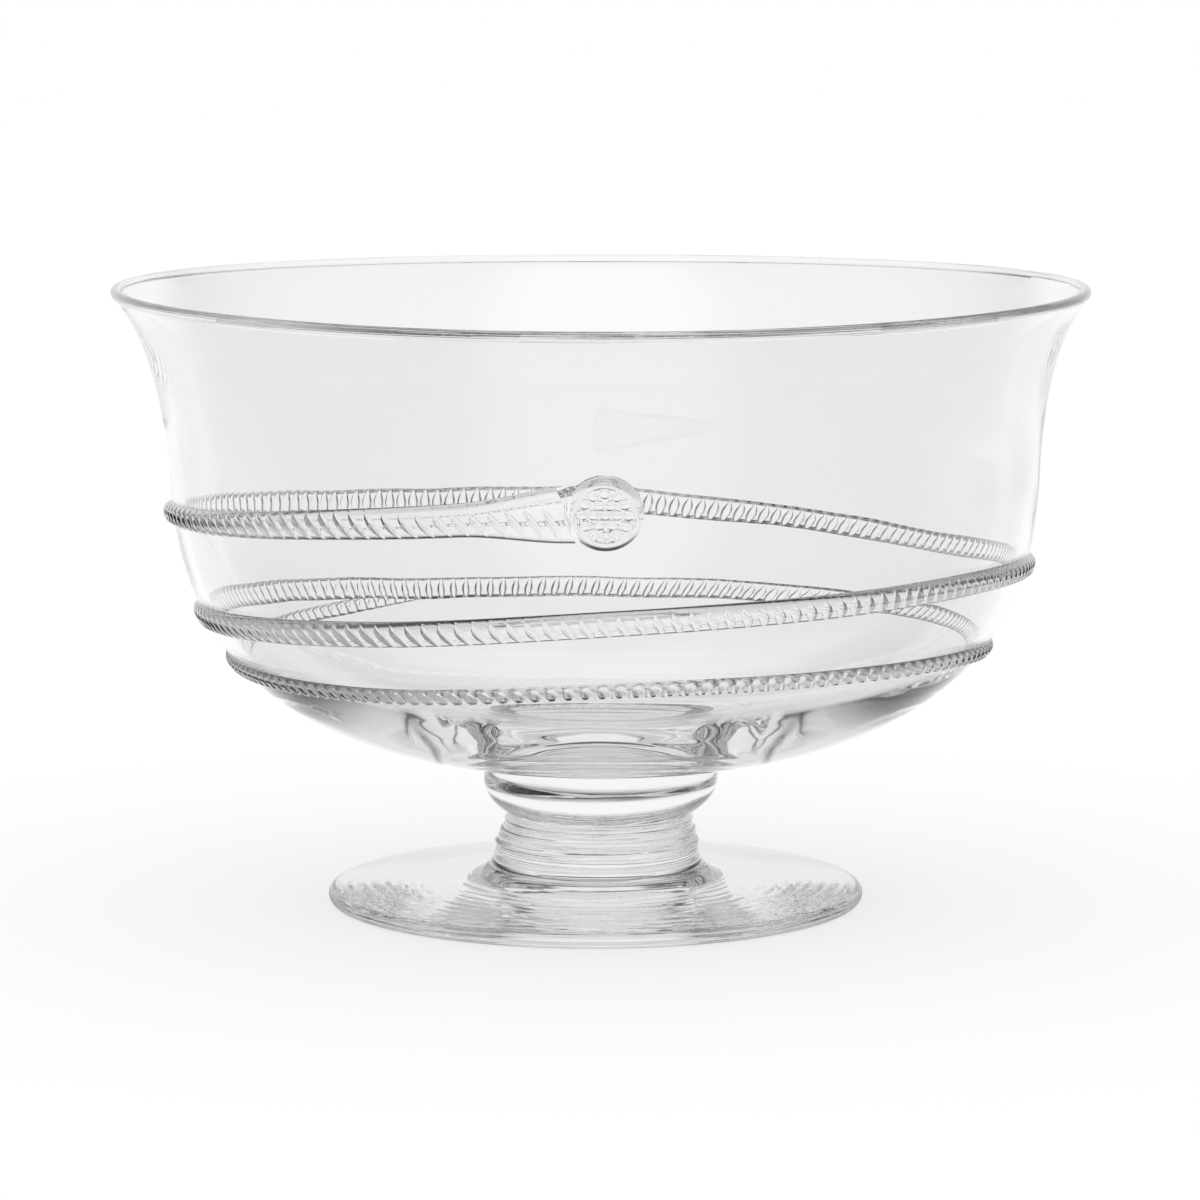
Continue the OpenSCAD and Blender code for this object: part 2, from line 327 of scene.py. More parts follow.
def thread_height(t):
    return mix(THREAD_H, THREAD_END_H, t / THREAD_TO) * tail(t)


def on_wall(turn, z, out=0.0):
    """Points on the bowl's outer face, out metres proud of it. turn runs from the front to -X."""
    lean = wall_lean(z)
    r = wall_r(z) + out * np.cos(lean)
    a = 2 * np.pi * turn
    return np.stack([-r * np.sin(a), -r * np.cos(a), z - out * np.sin(lean)], -1)


def dent_column(t, column):
    return np.interp(t, DENTS[:, TURNS], DENTS[:, column])


def dent_shift(t, across):
    """How many dents the slant sets a point back."""
    slant = np.radians(dent_column(t, SLANT))
    spacing = 2 * np.pi * wall_r(thread_z(t))
    return across * thread_width(t) * np.tan(slant) * dent_column(t, RATE) / spacing


def dent_phase(t, across):
    """Dents counted from the seal: whole numbers lie in the middle of a dent."""
    return np.interp(t, DENT_T, DENT_PHASE) - dent_shift(t, across)


def dent_leaf(number, across):
    """Half the width of a dent at a share across the thread, and the share of its depth."""
    t = np.interp(number, DENT_PHASE, DENT_T)
    half_w, half_l, middle = (dent_column(t, k) for k in (HALF_W, HALF_L, MIDDLE))
    leaf = np.clip(1 - ((across - middle) / half_l) ** 2, DENT_TIP, 1)
    return half_w * leaf, leaf


def rope(t):
    return smooth((t - ROPE_FROM) / ROPE_GROWS)


def thread_rise(t, across):
    """How far the thread stands out after t turns, at a share across its width."""
    dome = (1 - np.abs(2 * across) ** DOME_POWERS[0]) ** DOME_POWERS[1]
    phase = dent_phase(t, across)
    half, leaf = dent_leaf(np.round(phase), across)
    off = np.abs(phase - np.round(phase)) / half
    pressed = dent_column(t, DEPTH) * leaf * np.clip(1 - off**FLANK_POWER, 0, 1)
    start = smooth((t - THREAD_FROM) * TURN_L / DENTS_GROW_L)
    return thread_height(t) * dome * (1 - start * pressed)


def strand_rise(t, z):
    """How far the thread stands out at height z after t turns, and below zero beside it."""
    across = (z - thread_z(t)) / (thread_width(t) * np.cos(wall_lean(thread_z(t))))
    inside = (np.abs(across) < 0.5) & (t > THREAD_FROM) & (t < THREAD_TO)
    return np.where(inside, thread_rise(t, np.clip(across, -0.5, 0.5)), -FAR)


# The seal's thickness, what it gains towards its thicker side, and the way to that side
SEAL_T, SEAL_LEAN_T, SEAL_LEAN = 2.3 * MM, 0.9 * MM, (0.55, 0.83)

# The ridge in its rim: its place and width as shares of the seal's radius, and its height
RIDGE_AT, RIDGE_W, RIDGE_T = 0.8, 0.1, 1.0 * MM

# Its rounded edge: the width as a share of the radius, what that gains towards the thicker
# side, and the exponents of its curve
EDGE_W, EDGE_LEAN_W, EDGE_POWERS = 0.14, 0.24, (2.2, 0.6)

# A plain pattern of small beads: how many lie at which share of the radius, and their size
BEADS = (1, 0), (6, 0.3), (12, 0.58)
BEAD_R, BEAD_T = 1.3 * MM, 0.8 * MM

# Points round the seal, and rings inside the ridge and outside its middle
SEAL_POINTS, SEAL_INNER_RINGS, SEAL_OUTER_RINGS = 216, 43, 21


def seal_rise(x, y):
    """How far the seal stands out at x along the wall and y up it, from its middle."""
    rho = np.hypot(x, y) / SEAL_R
    ridge = np.exp(-(((rho - RIDGE_AT) / RIDGE_W) ** 2))
    lean = (SEAL_LEAN[0] * x + SEAL_LEAN[1] * y) / SEAL_R
    edge_w = EDGE_W + EDGE_LEAN_W * np.clip(lean, 0, 1) ** 2
    edge = 1 - np.clip((rho - 1 + edge_w) / edge_w, 0, 1) ** EDGE_POWERS[0]
    edge = np.clip(edge, 0, 1) ** EDGE_POWERS[1]
    rise = (SEAL_T + SEAL_LEAN_T * lean + RIDGE_T * ridge) * edge
    for count, share in BEADS:
        for k in range(count):
            a = 2 * math.pi * k / count
            d = np.hypot(x - share * SEAL_R * math.cos(a), y - share * SEAL_R * math.sin(a))
            rise = rise + BEAD_T * np.clip(1 - (d / BEAD_R) ** 2, 0, 1) ** 0.5
    return rise


SEAL_Z = float(thread_z(np.array(0.0)))
SEAL_TILT = math.cos(float(wall_lean(np.array(SEAL_Z))))
SEAL_TURN_L = 2 * math.pi * float(wall_r(SEAL_Z))


def seal_place(turn, z):
    """Distances along and up the wall from the seal's middle."""
    return -turn * SEAL_TURN_L, (z - SEAL_Z) / SEAL_TILT


def footprint(turn, z):
    """Below zero where the thread or the seal covers the wall, in metres to their edge."""
    nearest = np.full(np.broadcast(turn, z).shape, FAR)
    for lap in (0, 1, 2):
        t = turn + lap
        half = thread_width(t) / 2 * np.cos(wall_lean(thread_z(t)))
        d = np.abs(z - thread_z(t)) - half
        d = np.maximum(d, np.maximum(THREAD_FROM - t, t - THREAD_TO) * TURN_L)
        nearest = np.minimum(nearest, d)
    for lap in (0, -1):
        x, y = seal_place(turn + lap, z)
        nearest = np.minimum(nearest, np.hypot(x, y) - SEAL_R)
    return nearest


# Materials
TINT = (0.974, 0.977, 0.976)
GLASS_IOR = 1.5


def glass_material(name, wave_scale, wave_depth, stretch):
    """Clear glass with faint waves. stretch is how much finer the waves are up than round."""
    mat = bpy.data.materials.new(name)
    mat.use_nodes = True
    nodes, links = mat.node_tree.nodes, mat.node_tree.links
    glass = nodes["Principled BSDF"]
    glass.inputs["Base Color"].default_value = (*TINT, 1)
    glass.inputs["Roughness"].default_value = 0.0
    glass.inputs["IOR"].default_value = GLASS_IOR
    glass.inputs["Transmission Weight"].default_value = 1.0
    place = nodes.new("ShaderNodeTexCoord")
    fit = nodes.new("ShaderNodeMapping")
    fit.inputs["Scale"].default_value = (1, 1, stretch)
    waves = nodes.new("ShaderNodeTexNoise")
    waves.inputs["Scale"].default_value = wave_scale
    waves.inputs["Detail"].default_value = 2
    bump = nodes.new("ShaderNodeBump")
    bump.inputs["Strength"].default_value = 1.0
    bump.inputs["Distance"].default_value = wave_depth
    links.new(place.outputs["Object"], fit.inputs["Vector"])
    links.new(fit.outputs["Vector"], waves.inputs["Vector"])
    links.new(waves.outputs["Fac"], bump.inputs["Height"])
    links.new(bump.outputs["Normal"], glass.inputs["Normal"])
    return mat


def joint_material():
    """A fused joint inside the glass: light goes straight on through it."""
    mat = bpy.data.materials.new("fused_joint")
    mat.use_nodes = True
    nodes, links = mat.node_tree.nodes, mat.node_tree.links
    nodes.remove(nodes["Principled BSDF"])
    clear = nodes.new("ShaderNodeBsdfTransparent")
    links.new(clear.outputs["BSDF"], nodes["Material Output"].inputs["Surface"])
    return mat


blown_glass = glass_material("blown_glass", wave_scale=45, wave_depth=0.02 * MM, stretch=1)
tooled_glass = glass_material("tooled_glass", wave_scale=60, wave_depth=0.03 * MM, stretch=8)
thread_glass = glass_material("thread_glass", wave_scale=300, wave_depth=0.01 * MM, stretch=1)
joint = joint_material()


def hand_sway(points):
    """Moves each height sideways by its sway."""
    out = points.copy()
    out[:, 0] += np.interp(points[:, 2], SWAY_Z, SWAY_X)
    return out


def turn_outward(mesh):
    """Turns all faces outward, going by the solid's signed volume."""
    mesh.calc_loop_triangles()
    co = np.zeros(len(mesh.vertices) * 3)
    mesh.vertices.foreach_get("co", co)
    tri = np.zeros(len(mesh.loop_triangles) * 3, np.int32)
    mesh.loop_triangles.foreach_get("vertices", tri)
    a, b, c = co.reshape(-1, 3)[tri.reshape(-1, 3)].transpose(1, 0, 2)
    if np.einsum("ij,ij->i", a, np.cross(b, c)).sum() < 0:
        mesh.flip_normals()


def make_piece(name, points, faces, slots, material, node):
    mesh = bpy.data.meshes.new(name)
    mesh.from_pydata(hand_sway(np.asarray(points)).tolist(), [], faces)
    mesh.materials.append(material)
    mesh.materials.append(joint)
    mesh.polygons.foreach_set("material_index", np.asarray(slots, np.int32))
    mesh.polygons.foreach_set("use_smooth", np.ones(len(faces), bool))
    mesh.set_sharp_from_angle(angle=math.radians(SHARP_ANGLE))
    mesh.validate()
    turn_outward(mesh)
    piece = bpy.data.objects.new(name, mesh)
    scene.collection.objects.link(piece)
    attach(piece, "root")
    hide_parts(node)


def clip_cell(corners, values, points, crossings):
    """Splits one cell where values change sign. Returns its covered and its open polygon."""
    covered, free = [], []
    for k in range(len(corners)):
        a, b = corners[k], corners[(k + 1) % len(corners)]
        fa, fb = values[k], values[(k + 1) % len(corners)]
        (covered if fa < 0 else free).append(a)
        if (fa < 0) != (fb < 0):
            key = (min(a, b), max(a, b))
            if key not in crossings:
                share = min(max(fa / (fa - fb), LEAST_CUT), 1 - LEAST_CUT)
                crossings[key] = len(points)
                points.append(points[a] + share * (points[b] - points[a]))
            covered.append(crossings[key])
            free.append(crossings[key])
    return covered, free


def cut_band(quads, signs, points, crossings):
    """Faces and slots of one band of cells, which are cut where the cover's edge crosses them."""
    faces, slots = [], []
    for quad, sign in zip(quads.tolist(), signs):
        if (sign < 0).all() or (sign >= 0).all():
            faces.append(quad)
            slots.append(JOINT if sign[0] < 0 else GLASS)
            continue
        for polygon, kind in zip(clip_cell(quad, sign, points, crossings), (JOINT, GLASS)):
            if len(polygon) > 2:
                faces.append(polygon)
                slots.append(kind)
    return faces, slots


def lathe(name, profile, bands, material, node, waves=None, cover=None):
    """Turns a profile that starts and ends on the axis. bands gives each band's slot, waves
    moves the points outward and upward, and cover marks what other pieces are fused to."""
    profile = np.asarray(profile)
    rows = profile[1:-1]
    turn = np.arange(COLUMNS) / COLUMNS
    r = np.repeat(rows[:, 0][:, None], COLUMNS, 1)
    z = np.repeat(rows[:, 1][:, None], COLUMNS, 1)
    if waves is not None:
        dr, dz = waves(rows, turn)
        r, z = r + dr, z + dz
    a = 2 * np.pi * turn
    grid = np.stack([-r * np.sin(a), -r * np.cos(a), z], -1).reshape(-1, 3)
    points = [*grid, np.array([0, 0, profile[0, 1]]), np.array([0, 0, profile[-1, 1]])]
    first, last = len(grid), len(grid) + 1
    faces, slots, crossings = [], [], {}
    ring = np.arange(COLUMNS)
    after = (ring + 1) % COLUMNS
    values = cover(turn[None, :], rows[:, 1][:, None]) if cover else None
    for i in range(len(rows) - 1):
        lower, upper = i * COLUMNS, (i + 1) * COLUMNS
        quads = np.stack([lower + ring, upper + ring, upper + after, lower + after], 1)
        slot = bands[i + 1]
        if values is None or slot == JOINT:
            faces += quads.tolist()
            slots += [slot] * COLUMNS
            continue
        signs = np.stack([values[i, ring], values[i + 1, ring],
                          values[i + 1, after], values[i, after]], 1)
        cut_faces, cut_slots = cut_band(quads, signs, points, crossings)
        faces += cut_faces
        slots += cut_slots
    top = (len(rows) - 1) * COLUMNS
    faces += [[first, k, (k + 1) % COLUMNS] for k in range(COLUMNS)]
    faces += [[last, top + (k + 1) % COLUMNS, top + k] for k in range(COLUMNS)]
    slots += [bands[0]] * COLUMNS + [bands[-1]] * COLUMNS
    make_piece(name, points, faces, slots, material, node)


# The bowl. Its underside is fused to the collar, and its wall to the thread and the seal.
outer_rows = wall_face(0, BOWL_Z, LIP_FROM, FACE_STEPS)
seat_z = float(np.interp(COLLAR_R, WALL_TABLE[:, 0], WALL_TABLE[:, 1]))
seat_at = int(np.searchsorted(outer_rows[:, 0], COLLAR_R))
outer_rows = np.insert(outer_rows, seat_at, [COLLAR_R, seat_z], 0)
lip_rows = arc(LIP_CENTRE, (LIP_R, LIP_R), LIP_FROM, LIP_TO, LIP_STEPS)[1:-1]


def inner_rows():
    """The inner face from the lip down, with finer steps and a low ring in the floor."""
    rows = wall_face(WALL_T, BOWL_Z + FLOOR_T, LIP_TO, FACE_STEPS)[::-1]
    slope = np.gradient(WALL_TABLE, axis=0)
    slope /= np.hypot(slope[:, 0], slope[:, 1])[:, None]
    parallel = WALL_TABLE + WALL_T * np.stack([-slope[:, 1], slope[:, 0]], 1)
    parallel = parallel[parallel[:, 1] > PARALLEL_FROM_Z]
    parallel_r = np.interp(rows[:, 1], parallel[:, 1], parallel[:, 0])
    rows[:, 0] = mix(rows[:, 0], parallel_r, window(rows[:, 1], *PARALLEL_HEIGHTS))
    fine_r = np.arange(FLOOR_RING_R + FLOOR_RING_REACH, 0, -FLOOR_RING_STEP)
    fine_z = np.interp(fine_r, rows[::-1, 0], rows[::-1, 1])
    rows = np.concatenate([rows[rows[:, 0] > fine_r[0]], np.stack([fine_r, fine_z], 1), rows[-1:]])
    rows[:, 1] += FLOOR_RING_H * np.exp(-(((rows[:, 0] - FLOOR_RING_R) / FLOOR_RING_W) ** 2))
    return rows


def bowl_waves(rows, turn):
    """Faint waves of the blown wall on its inner face, and the lip's streaks and saddle."""
    a = 2 * np.pi * turn[None, :]
    z = rows[:, 1][:, None] / MM
    inner = (np.arange(len(rows)) > len(outer_rows))[:, None]
    dr = inner * ripple(WALL_WAVES, a, z) * WALL_WAVE
    share = smooth((rows[:, 1][:, None] - SADDLE_Z) / (LIP_Z - SADDLE_Z))
    dz = SADDLE_H * share * -np.cos(2 * a)
    lip = slice(len(outer_rows) - 1, len(outer_rows) + len(lip_rows) - 1)
    way = (rows[lip] - LIP_CENTRE) / LIP_R
    along = np.arctan2(way[:, 1], way[:, 0])[:, None]
    wandering = np.sin(STREAK_COUNTS[0] * along + STREAK_WANDER * np.sin(2 * a))
    twisting = np.sin(STREAK_COUNTS[1] * along - STREAK_TWIST * a)
    streaks = wandering + STREAK_SHARE * twisting
    streaks = streaks * LIP_STREAK * (STREAK_MEAN + STREAK_SWING * np.cos(a))
    dr[lip] += streaks * way[:, :1]
    dz[lip] += streaks * way[:, 1:]
    return dr, dz


def wall_cover(turn, z):
    """The footprint on the outer face. Nothing covers the lip and the inner face."""
    values = footprint(turn, z)
    values[len(outer_rows) - 1:] = FAR
    return values


def make_bowl():
    profile = np.concatenate([outer_rows, lip_rows, inner_rows()])
    bands = [JOINT if i < seat_at else GLASS for i in range(len(profile) - 1)]
    lathe("blown_bowl", profile, bands, blown_glass, "bowl", bowl_waves, wall_cover)


make_bowl()


# The collar, whose top is the bowl's underside
def make_collar():
    seat = outer_rows[: seat_at + 1][::-1]
    share = np.linspace(0, 1, COLLAR_STEPS + 1)
    side = np.stack([mix(WAIST_R, COLLAR_R, 1 - (1 - share) ** COLLAR_FULLNESS),
                     WAIST_Z + COLLAR_OGEE_H * share], 1)
    profile = np.concatenate([[[0, WAIST_Z]], side, seat])
    bands = [JOINT] + [GLASS] * len(side) + [JOINT] * (len(seat) - 1)
    lathe("collar_piece", profile, bands, tooled_glass, "collar")


make_collar()


# The stem, with its tooled rings
def stem_waves(rows, turn):
    a = 2 * np.pi * turn[None, :]
    z = (rows[:, 1][:, None] - STEM_Z) / MM
    inside = ((rows[:, 1] > STEM_Z) & (rows[:, 1] < WAIST_Z))[:, None]
    grooves = ripple(STEM_WAVES, a, z)
    return inside * grooves * STEM_WAVE, 0 * grooves


def make_stem():
    share = np.linspace(0, 1, STEM_STEPS + 1)
    rings = np.maximum(0, np.sin(2 * np.pi * STEM_RINGS * share - np.pi / 2))
    side = np.stack([mix(STEM_R, WAIST_R, ease(share)) + STEM_RING_H * rings,
                     mix(STEM_Z, WAIST_Z, share)], 1)
    profile = np.concatenate([[[0, STEM_Z]], side, [[0, WAIST_Z]]])
    bands = [JOINT] + [GLASS] * (len(side) - 1) + [JOINT]
    lathe("ringed_stem", profile, bands, tooled_glass, "stem", stem_waves)


make_stem()


# The foot
def foot_waves(rows, turn):
    """Tool marks on the flare and the top of the foot."""
    a = 2 * np.pi * turn[None, :]
    r = rows[:, 0][:, None] / MM
    top = ((rows[:, 1] > 2 * FOOT_EDGE_R) & (rows[:, 1] < STEM_Z))[:, None]
    marks = ripple(FOOT_WAVES, a, r)
    return 0 * marks, top * marks * FOOT_WAVE


def make_foot():
    mark = arc((0, HOLLOW_H), (PONTIL_R, PONTIL_DEPTH), 90, 0, MARK_STEPS)
    share = np.linspace(0, 1, HOLLOW_STEPS + 1)[1:]
    hollow = np.stack([mix(PONTIL_R, REST_R, share), HOLLOW_H * ease(1 - share)], 1)
    edge = arc((FOOT_R - FOOT_EDGE_R, FOOT_EDGE_R), (FOOT_EDGE_R, FOOT_EDGE_R), -90, 90,
               EDGE_STEPS)
    flare = arc((STEM_R + FLARE_W, STEM_Z), (FLARE_W, STEM_Z - FLARE_Z), 270, 180, FLARE_STEPS)
    top = mix(edge[-1], flare[0], np.linspace(0, 1, TOP_STEPS + 1)[1:-1, None])
    profile = np.concatenate([mark, hollow, edge, top, flare, [[0, STEM_Z]]])
    bands = [GLASS] * (len(profile) - 2) + [JOINT]
    lathe("round_foot", profile, bands, tooled_glass, "foot", foot_waves)


make_foot()


# The thread. Its back is fused to the wall, and its ends to the seal and its own second turn.
def thread_rings():
    """Turns, shares across and dent counts of the thread's points, ring by ring."""
    face = 0.5 * np.sin(np.linspace(-np.pi / 2, np.pi / 2, FACE_POINTS))
    back = np.linspace(0.5, -0.5, BACK_POINTS + 2)[1:-1]
    across = np.concatenate([face, back])[None, :]
    ends = np.interp([THREAD_FROM, THREAD_TO], DENT_T, DENT_PHASE)
    number = np.arange(math.ceil(ends[0]), math.floor(ends[1]))[:, None, None]
    # The rings of each dent follow its outline, so that its edge stays sharp
    inside = np.sin(np.linspace(-np.pi / 2, np.pi / 2, DENT_RINGS))[None, :, None]
    between = np.linspace(0, 1, PLAIN_RINGS + 2)[None, 1:-1, None]
    half, _ = dent_leaf(number, across[None])
    after, _ = dent_leaf(number + 1, across[None])
    in_dent = number + inside * half
    past = number + half + between * (1 - half - after)
    target = np.concatenate([in_dent, past], 1).reshape(-1, across.shape[1])
    across = across + 0 * target
    t = np.interp(target, DENT_PHASE, DENT_T)
    for _ in range(SLANT_ROUNDS):
        t = np.interp(target + dent_shift(t, across), DENT_PHASE, DENT_T)
    return t, across, target


def sunk_in_glass(t, z, rise):
    """Where the thread's points lie inside the seal or another turn of the thread."""
    x, y = seal_place(t, z)
    sunk = (seal_rise(x, y) > rise) & (np.hypot(x, y) < SEAL_R)
    sunk |= (t > TAIL_FUSED_FROM) & (strand_rise(t - 1, z) > rise)
    return sunk | (t > TURN_FUSED[0]) & (t < TURN_FUSED[1]) & (strand_rise(t + 1, z) > rise)


def make_thread():
    t, across, count = thread_rings()
    rise = thread_rise(t, np.clip(across, -0.5, 0.5))
    rise[:, FACE_POINTS:] = 0
    swell = ROPE_BULGE * rope(t) * np.cos(2 * np.pi * count) * rise / thread_height(t)
    lean = wall_lean(thread_z(t))
    z = thread_z(t) + across * (1 - swell) * thread_width(t) * np.cos(lean)
    points = on_wall(t, z, rise).reshape(-1, 3)
    rings, sides = across.shape
    own = np.arange(rings - 1)[:, None] * sides + np.arange(sides)[None, :]
    other = np.arange(rings - 1)[:, None] * sides + (np.arange(sides)[None, :] + 1) % sides
    quads = np.stack([own, other, other + sides, own + sides], -1).reshape(-1, 4)
    slots = np.tile(np.where(np.arange(sides) < FACE_POINTS - 1, GLASS, JOINT), rings - 1)
    slots[sunk_in_glass(t, z, rise).reshape(-1)[quads].all(1)] = JOINT
    faces = quads.tolist()
    faces.append(list(range(sides))[::-1])
    faces.append(list(range((rings - 1) * sides, rings * sides)))
    slots = [*slots.tolist(), JOINT, JOINT]
    make_piece("notched_thread", points, faces, slots, thread_glass, "thread")


make_thread()


# The seal, whose back is fused to the wall
def make_seal():
    rhos = np.concatenate([np.linspace(0, RIDGE_AT, SEAL_INNER_RINGS + 1)[1:],
                           np.linspace(RIDGE_AT, 1, SEAL_OUTER_RINGS + 1)[1:]])
    angles = 2 * np.pi * np.arange(SEAL_POINTS) / SEAL_POINTS
    rho = (rhos * SEAL_R)[:, None]
    x, y = rho * np.cos(angles)[None, :], rho * np.sin(angles)[None, :]
    turn = -x / SEAL_TURN_L
    z = SEAL_Z + y * SEAL_TILT
    rise = seal_rise(x, y)
    rise[-1] = 0
    face = on_wall(turn, z, rise).reshape(-1, 3)
    back = on_wall(turn[:-1], z[:-1]).reshape(-1, 3)
    mid = on_wall(np.zeros(2), np.full(2, SEAL_Z), np.array([float(seal_rise(0, 0)), 0]))
    points = np.concatenate([face, back, mid])
    in_thread = (strand_rise(turn, z) > rise).reshape(-1)
    n, rows = len(angles), len(rhos)
    base = rows * n
    # The back shares its outermost ring with the face
    under = np.concatenate([base + np.arange((rows - 1) * n), np.arange((rows - 1) * n, rows * n)])
    front_faces, front_slots, back_faces = [], [], []
    for i in range(rows - 1):
        for k in range(n):
            j = (k + 1) % n
            quad = [i * n + k, (i + 1) * n + k, (i + 1) * n + j, i * n + j]
            front_faces.append(quad)
            front_slots.append(JOINT if in_thread[quad].all() else GLASS)
            back_faces.append(under[quad[::-1]].tolist())
    faces = front_faces + back_faces
    slots = front_slots + [JOINT] * len(back_faces)
    front_mid, back_mid = len(points) - 2, len(points) - 1
    for k in range(n):
        j = (k + 1) % n
        faces += [[front_mid, k, j], [back_mid, base + j, base + k]]
        slots += [GLASS, JOINT]
    make_piece("stamped_seal", points, faces, slots, thread_glass, "seal")


make_seal()


# Camera: a long lens, a little above the bowl's middle
CAMERA_LENS, CAMERA_SENSOR, CAMERA_FAR = 168.1, 36, 20
CAMERA_PITCH, CAMERA_AWAY = math.radians(7.722), 1.4434
CAMERA_AIM = Vector((-0.0004, 0, 0.07795))

camera = bpy.data.objects.new("camera", bpy.data.cameras.new("camera"))
scene.collection.objects.link(camera)
scene.camera = camera
camera.data.sensor_width = CAMERA_SENSOR
camera.data.lens = CAMERA_LENS
camera.data.clip_end = CAMERA_FAR
camera_way = Vector((0, -math.cos(CAMERA_PITCH), math.sin(CAMERA_PITCH)))
camera.location = CAMERA_AIM + CAMERA_AWAY * camera_way
camera.rotation_euler = (math.pi / 2 - CAMERA_PITCH, 0, 0)


# Light. To the camera the floor and the world are white, and the floor keeps a soft shadow.
# The glass shows two things. A ray that has only passed through it sees a white surrounding
# on every side, which darkens upwards from a little above the level, and a painted shadow
# under the foot, where the floor glows slightly darker. A ray that was reflected in it sees
# a studio: a bright backdrop with a dark gap, a dimmer front, dark sides, a dark ceiling, and
# a table whose glow is painted light behind the bowl and painted shade in front of it. Glossy
# Depth is 0 for the first kind and 1 or more for the second, and REFLECTED lies between them.
# Each END is the span in which one level gives way to the next: a part of the ray's direction
# for the world, and metres on the floor.
REFLECTED = 0.2, 0.8
STRAIGHT, HIGH_END = 1.0, (0.18, 0.48)
# A painted shadow: under the foot the floor glows at this lower level, out to the end of its span
PAINTED_SHADOW, PAINTED_SHADOW_END = 0.8, (0.06, 0.18)
BACK, FRONT, SIDES, OVERHEAD = 0.9, 0.8, 0.03, 0.03
FRONT_END = -0.15, 0.15
SIDES_FROM, SIDES_TO = math.radians(20), math.radians(50)
OVERHEAD_END = 0.91, 0.97

# The gap in the backdrop: its level, and the heights and the side where it starts and ends
GAP, GAP_FROM, GAP_TO, GAP_SIDE = 0.1, (0.36, 0.45), (0.58, 0.70), (0.1, 0.4)

# The table for reflected rays, whose glow is painted light behind the bowl and painted shade in
# front of it, and which gives way to the studio's painted levels farther off
TABLE_PAINTED_SHADE, TABLE_PAINTED_LIGHT = 0.03, 1.0
TABLE_SPAN = -190 * MM, 170 * MM
TABLE_END = 0.5, 2.0

# The floor for the camera. It lies just under the foot, so that the foot keeps its underside.
FLOOR_Z, FLOOR_R, FLOOR_SIDES = -0.1 * MM, 4.0, 96
FLOOR_GREY, FLOOR_GLOW = 0.28, 0.74


def math_node(tree, operation, *sources):
    node = tree.nodes.new("ShaderNodeMath")
    node.operation = operation
    for socket, source in zip(node.inputs, sources):
        tree.links.new(source, socket)
    return node.outputs[0]


def fade(tree, value, start, end, low, high):
    """Goes from low to high, a number or another fade, while value goes from start to end."""
    node = tree.nodes.new("ShaderNodeMapRange")
    node.interpolation_type = "SMOOTHSTEP"
    tree.links.new(value, node.inputs["Value"])
    node.inputs["From Min"].default_value = start
    node.inputs["From Max"].default_value = end
    for name, level in (("To Min", low), ("To Max", high)):
        if isinstance(level, float):
            node.inputs[name].default_value = level
        else:
            tree.links.new(level, node.inputs[name])
    return node.outputs["Result"]


def studio_level(tree, x, y):
    """The studio all round: bright backdrop, dimmer front, dark sides."""
    turn = math_node(tree, "ARCTAN2", math_node(tree, "ABSOLUTE", x),
                     math_node(tree, "ABSOLUTE", y))
    ends = fade(tree, y, *FRONT_END, FRONT, BACK)
    return fade(tree, turn, SIDES_FROM, SIDES_TO, ends, SIDES)


def pick_shader(tree, share, low, high, target):
    """Links target to a mix of two shaders: low where share is 0 and high where it is 1."""
    pick = tree.nodes.new("ShaderNodeMixShader")
    tree.links.new(share, pick.inputs["Fac"])
    tree.links.new(low.outputs[0], pick.inputs[1])
    tree.links.new(high.outputs[0], pick.inputs[2])
    tree.links.new(pick.outputs[0], target.inputs["Surface"])


def plain_floor(tree):
    """What the camera sees of the floor: a white glow with soft shadows."""
    nodes, links = tree.nodes, tree.links
    lit = nodes.new("ShaderNodeBsdfDiffuse")
    lit.inputs["Color"].default_value = (FLOOR_GREY, FLOOR_GREY, FLOOR_GREY, 1)
    glow = nodes.new("ShaderNodeEmission")
    glow.inputs["Color"].default_value = (1, 1, 1, 1)
    glow.inputs["Strength"].default_value = FLOOR_GLOW
    plain = nodes.new("ShaderNodeAddShader")
    links.new(lit.outputs[0], plain.inputs[0])
    links.new(glow.outputs[0], plain.inputs[1])
    return plain


def table_light(tree, path):
    """What rays that have met glass see of the floor."""
    nodes, links = tree.nodes, tree.links
    place = nodes.new("ShaderNodeNewGeometry")
    split = nodes.new("ShaderNodeSeparateXYZ")
    links.new(place.outputs["Position"], split.inputs["Vector"])
    x, y = split.outputs["X"], split.outputs["Y"]
    measure = nodes.new("ShaderNodeVectorMath")
    measure.operation = "LENGTH"
    links.new(place.outputs["Position"], measure.inputs[0])
    away = measure.outputs["Value"]
    # Painted light and shade on the table: its glow rises from dark in front of the bowl to bright
    # behind it
    near = fade(tree, y, *TABLE_SPAN, TABLE_PAINTED_SHADE, TABLE_PAINTED_LIGHT)
    studio = fade(tree, away, *TABLE_END, near, studio_level(tree, x, y))
    # Painted shadow: for rays that only passed through the glass, the floor glows darker under the
    # foot
    straight = fade(tree, away, *PAINTED_SHADOW_END, PAINTED_SHADOW, STRAIGHT)
    level = fade(tree, path.outputs["Glossy Depth"], *REFLECTED, straight, studio)
    # Only rays that the floor itself hasn't scattered see this light
    first = nodes.new("ShaderNodeMath")
    first.operation = "LESS_THAN"
    first.inputs[1].default_value = 0.5
    links.new(path.outputs["Diffuse Depth"], first.inputs[0])
    table = nodes.new("ShaderNodeEmission")
    links.new(math_node(tree, "MULTIPLY", first.outputs[0], level), table.inputs["Strength"])
    return table


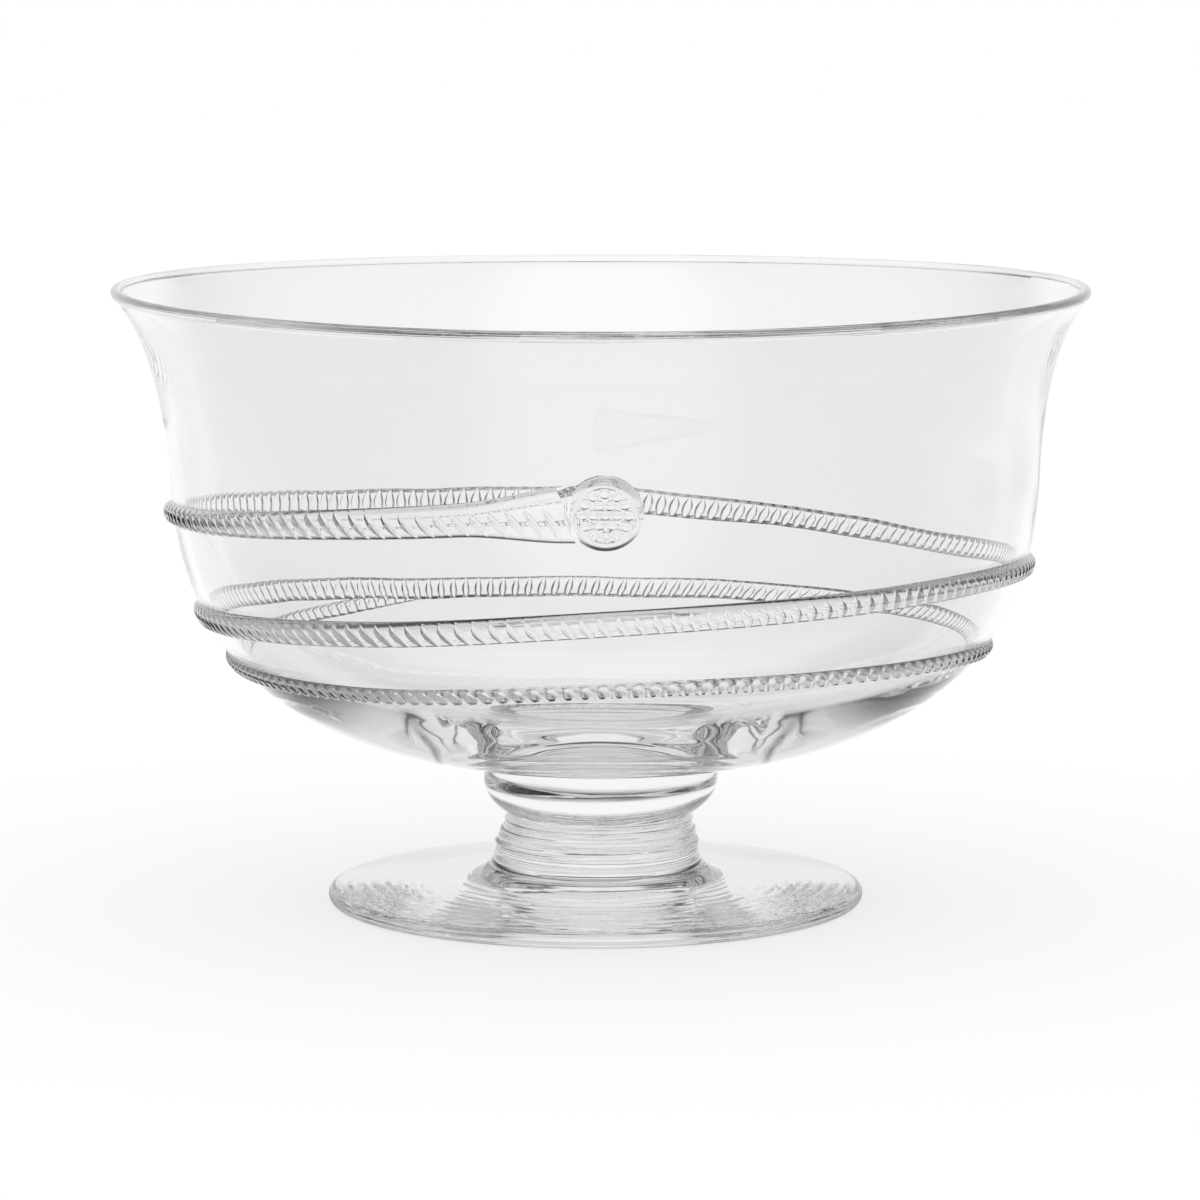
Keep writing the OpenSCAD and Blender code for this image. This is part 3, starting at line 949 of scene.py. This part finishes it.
def floor_material():
    mat = bpy.data.materials.new("pale_floor")
    mat.use_nodes = True
    tree = mat.node_tree
    tree.nodes.remove(tree.nodes["Principled BSDF"])
    path = tree.nodes.new("ShaderNodeLightPath")
    pick_shader(tree, path.outputs["Is Camera Ray"], table_light(tree, path), plain_floor(tree),
                tree.nodes["Material Output"])
    return mat


def make_floor():
    a = 2 * np.pi * np.arange(FLOOR_SIDES) / FLOOR_SIDES
    points = [(FLOOR_R * math.cos(k), FLOOR_R * math.sin(k), FLOOR_Z) for k in a]
    mesh = bpy.data.meshes.new("floor")
    mesh.from_pydata(points, [], [list(range(FLOOR_SIDES))])
    mesh.materials.append(floor_material())
    floor = bpy.data.objects.new("floor", mesh)
    scene.collection.objects.link(floor)


def make_world():
    world = bpy.data.worlds.new("studio")
    scene.world = world
    world.use_nodes = True
    world.cycles.sampling_method = "NONE"
    tree = world.node_tree
    nodes, links = tree.nodes, tree.links
    place = nodes.new("ShaderNodeTexCoord")
    split = nodes.new("ShaderNodeSeparateXYZ")
    links.new(place.outputs["Generated"], split.inputs["Vector"])
    x, y, z = (split.outputs[k] for k in "XYZ")
    above_gap = fade(tree, z, *GAP_TO, GAP, 1.0)
    backdrop = fade(tree, z, *GAP_FROM, 1.0, above_gap)
    gap = fade(tree, y, *GAP_SIDE, 1.0, backdrop)
    studio = math_node(tree, "MULTIPLY", gap, studio_level(tree, x, y))
    studio = fade(tree, z, *OVERHEAD_END, studio, OVERHEAD)
    straight = fade(tree, z, *HIGH_END, STRAIGHT, OVERHEAD)
    path = nodes.new("ShaderNodeLightPath")
    level = fade(tree, path.outputs["Glossy Depth"], *REFLECTED, straight, studio)
    room = nodes["Background"]
    room.inputs["Color"].default_value = (1, 1, 1, 1)
    links.new(level, room.inputs["Strength"])
    white = nodes.new("ShaderNodeBackground")
    white.inputs["Color"].default_value = (1, 1, 1, 1)
    plain = math_node(tree, "MAXIMUM", path.outputs["Is Camera Ray"],
                      path.outputs["Is Diffuse Ray"])
    pick_shader(tree, plain, room, white, nodes["World Output"])


make_floor()
make_world()

scene.view_settings.view_transform = "Standard"
scene.cycles.max_bounces = 64
scene.cycles.transmission_bounces = 64
scene.cycles.glossy_bounces = 64
scene.cycles.transparent_max_bounces = 32
